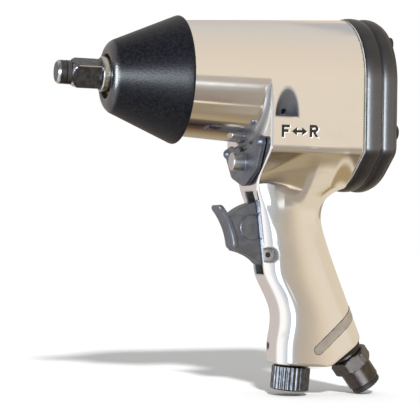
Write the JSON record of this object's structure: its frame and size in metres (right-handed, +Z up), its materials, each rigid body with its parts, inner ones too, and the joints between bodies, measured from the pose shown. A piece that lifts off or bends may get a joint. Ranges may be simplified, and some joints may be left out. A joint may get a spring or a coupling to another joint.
{
  "type": "pneumatic impact wrench",
  "caption": "Pistol-grip air impact wrench with a square drive, rubber nose boot, polished housing, trigger, reverse lever, air regulator and threaded air inlet.",
  "frame": {"origin": "on the drive axis, at the shoulder behind the square where a socket seats", "axes": "+X from the nose to the rear cover along the drive axis, +Z up and away from the handle, +Y to the tool's right seen from behind the nose"},
  "size_m": [0.1901, 0.0768, 0.2112],
  "materials": {
    "polished_aluminium": "polished casting",
    "black_rubber": "satin moulded",
    "black_casting": "satin black coat on an aluminium casting",
    "dark_steel": "black oxide",
    "hardened_steel": "hardened, oiled",
    "ground_steel": "ground",
    "grey_casting": "grey, as cast",
    "motor_iron": "bored and ground",
    "bronze": "sintered",
    "seal_rubber": "moulded",
    "vane_resin": "pressed laminate",
    "gasket_paper": "pressed fibre"
  },
  "bodies": {
    "housing": {"motor_housing": "polished_aluminium", "nose_boot": "black_rubber", "hammer_case": "dark_steel", "hammer_case_screws": "dark_steel", "hammer_case_gasket": "gasket_paper", "anvil_bushing": "bronze", "front_end_plate": "bronze", "front_bearing": "ground_steel", "motor_cylinder": "motor_iron", "cylinder_dowel": "ground_steel", "rear_end_plate": "bronze", "rear_bearing": "ground_steel", "rear_gasket": "gasket_paper", "rear_cover": "black_casting", "rear_cover_screws": "ground_steel", "reverse_bushing": "bronze", "detent_ball": "ground_steel", "detent_spring": "ground_steel", "trigger_pin": "ground_steel", "throttle_seat": "bronze", "throttle_spring": "ground_steel", "regulator_pin": "ground_steel", "inlet_bushing": "dark_steel", "inlet_seal": "seal_rubber", "inlet_screen": "ground_steel"},
    "rotor": {"rotor": "hardened_steel", "vanes": "vane_resin", "cage_front_plate": "hardened_steel", "cage_rear_plate": "hardened_steel", "hammer_pins": "ground_steel"},
    "front_hammer": {"front_hammer": "hardened_steel"},
    "rear_hammer": {"rear_hammer": "hardened_steel"},
    "anvil": {"anvil": "hardened_steel", "friction_ring": "ground_steel", "friction_o_ring": "seal_rubber"},
    "trigger": {"trigger": "grey_casting"},
    "throttle": {"throttle_stem": "hardened_steel"},
    "reverse": {"reverse_lever": "grey_casting", "reverse_valve": "hardened_steel", "lever_pin": "ground_steel"},
    "regulator": {"regulator": "dark_steel", "regulator_o_ring": "seal_rubber"}
  },
  "joints": [
    {"name": "rotor_spin", "type": "hinge", "parent": "housing", "child": "rotor", "pos_m": [0.092, 0, 0], "axis": [1, 0, 0], "continuous": true},
    {"name": "anvil_spin", "type": "hinge", "parent": "housing", "child": "anvil", "pos_m": [0, 0, 0], "axis": [1, 0, 0], "continuous": true},
    {"name": "front_hammer_swing", "type": "hinge", "parent": "rotor", "child": "front_hammer", "pos_m": [0.04, 0, 0.0166], "axis": [1, 0, 0], "range_deg": [-3.5, 3.5]},
    {"name": "rear_hammer_swing", "type": "hinge", "parent": "rotor", "child": "rear_hammer", "pos_m": [0.05, 0, -0.0166], "axis": [1, 0, 0], "range_deg": [-3.5, 3.5]},
    {"name": "trigger_pull", "type": "hinge", "parent": "housing", "child": "trigger", "pos_m": [0.0944, 0, -0.0949], "axis": [0, 1, 0], "range_deg": [0, 10], "stiffness_Nm_per_rad": 0.8, "springref_deg": -17.19},
    {"name": "throttle_slide", "type": "slide", "parent": "housing", "child": "throttle", "axis": [1, 0, 0], "range_m": [0, 0.0034], "deforming": ["throttle_spring"]},
    {"name": "reverse_turn", "type": "hinge", "parent": "housing", "child": "reverse", "pos_m": [0.0852, 0, -0.0442], "axis": [1, 0, 0], "range_deg": [0, 10]},
    {"name": "regulator_turn", "type": "hinge", "parent": "housing", "child": "regulator", "pos_m": [0.113, 0, -0.1556], "axis": [0.0767, 0, 0.9971], "range_deg": [0, 180]}
  ],
  "couplings": [
    {"joint": "anvil_spin", "follows": "rotor_spin", "ratio": 1},
    {"joint": "throttle_slide", "follows": "trigger_pull", "m_per_rad": 0.0189}
  ]
}
